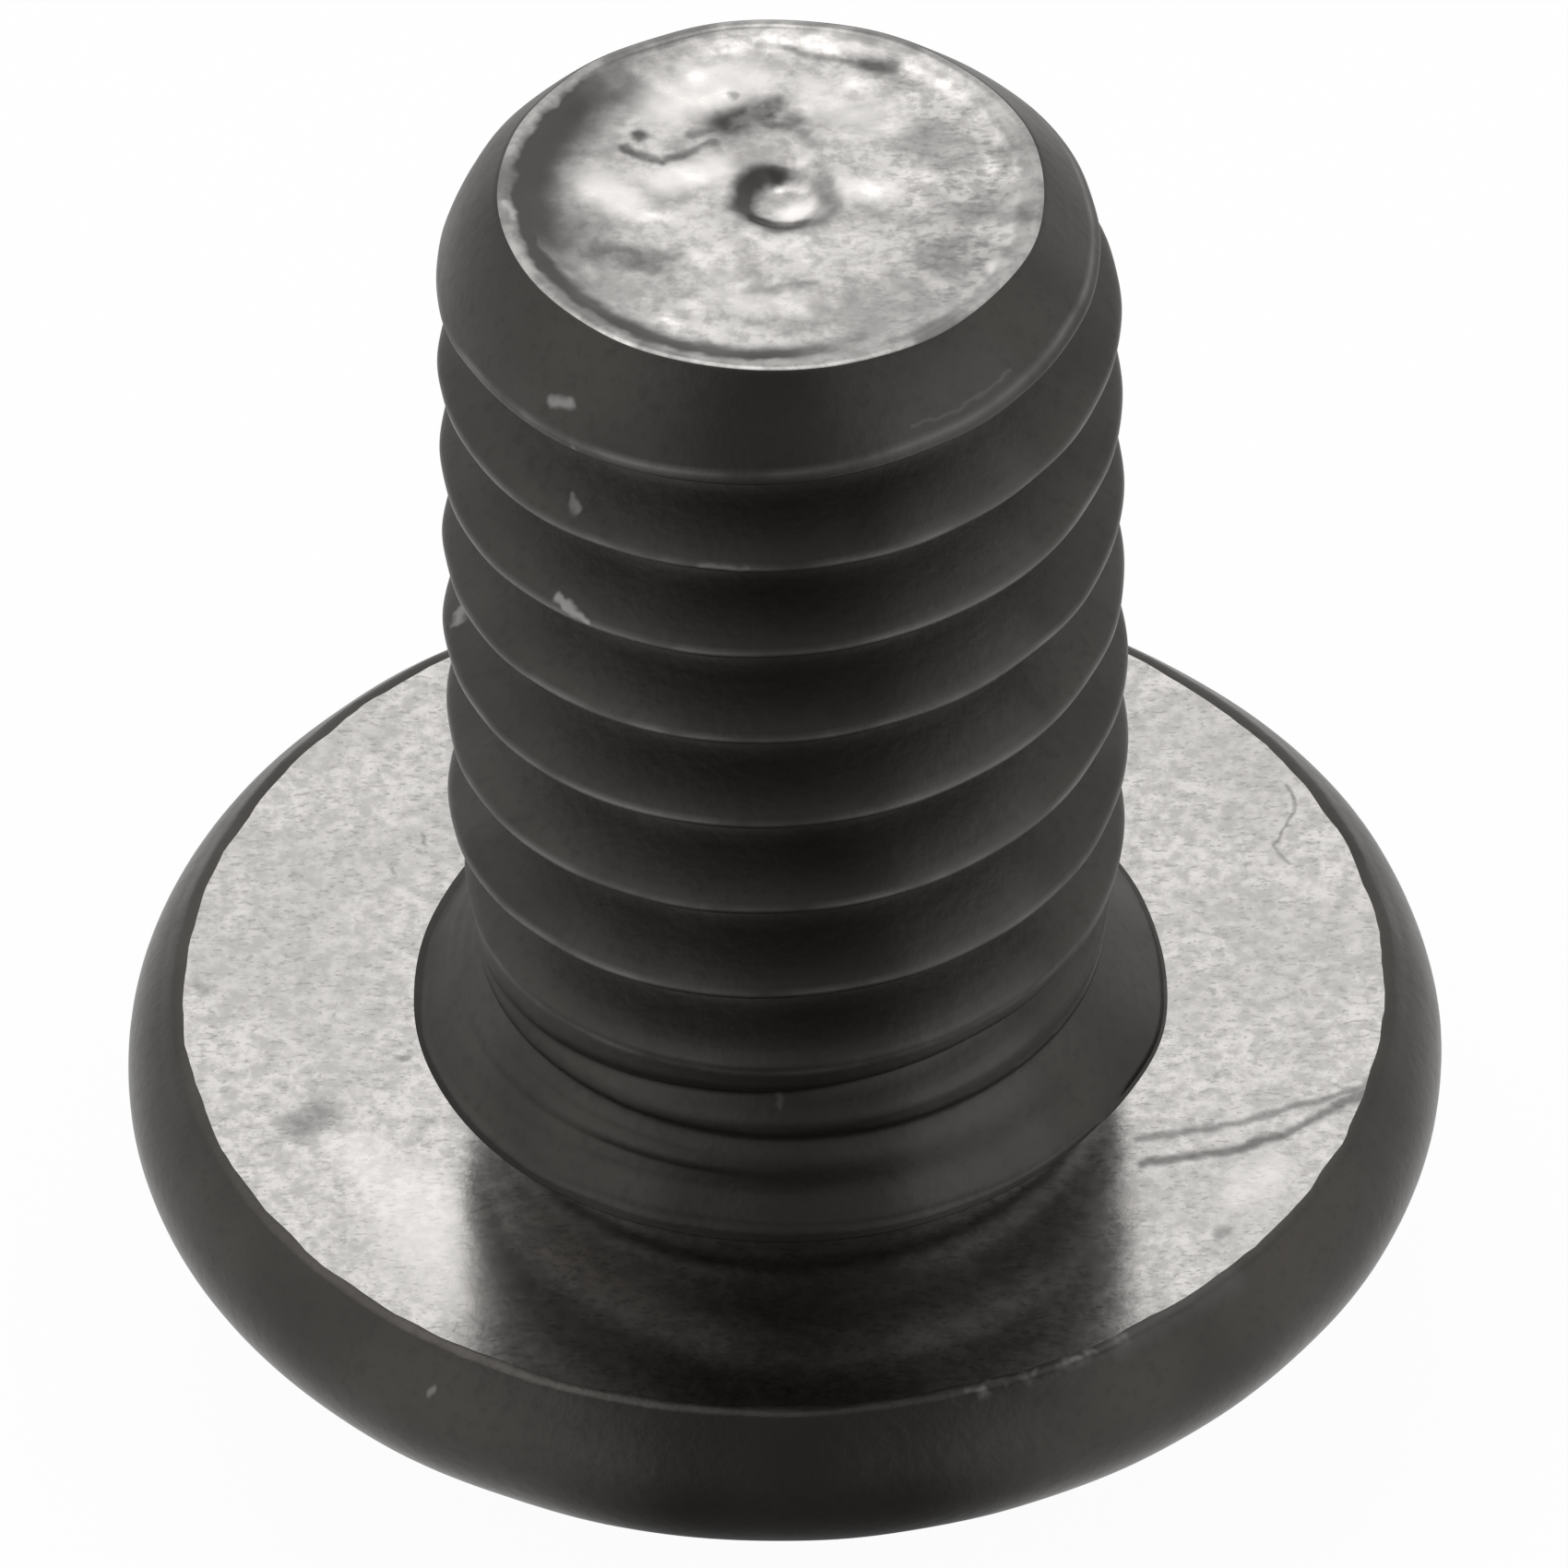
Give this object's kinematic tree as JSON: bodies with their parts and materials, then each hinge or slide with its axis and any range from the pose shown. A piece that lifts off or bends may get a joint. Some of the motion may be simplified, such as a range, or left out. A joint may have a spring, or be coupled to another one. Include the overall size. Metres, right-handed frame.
{
  "type": "button head socket screw",
  "caption": "Domed button head screw with a hexagon socket, a fully threaded short shank, a flared neck and a chamfered, dished tip.",
  "frame": {"origin": "centre of the flat land round the socket's mouth, the lowest plane of the screw as it stands on its head", "axes": "+Z along the shank's axis from the head to the tip; X runs through two corners of the hexagon socket"},
  "size_m": [0.0056, 0.0056, 0.0064],
  "materials": {
    "black_steel": "black oxide, satin, polished brighter on the bearing face and the end face"
  },
  "bodies": {
    "root": {"screw": "black_steel"}
  },
  "joints": []
}
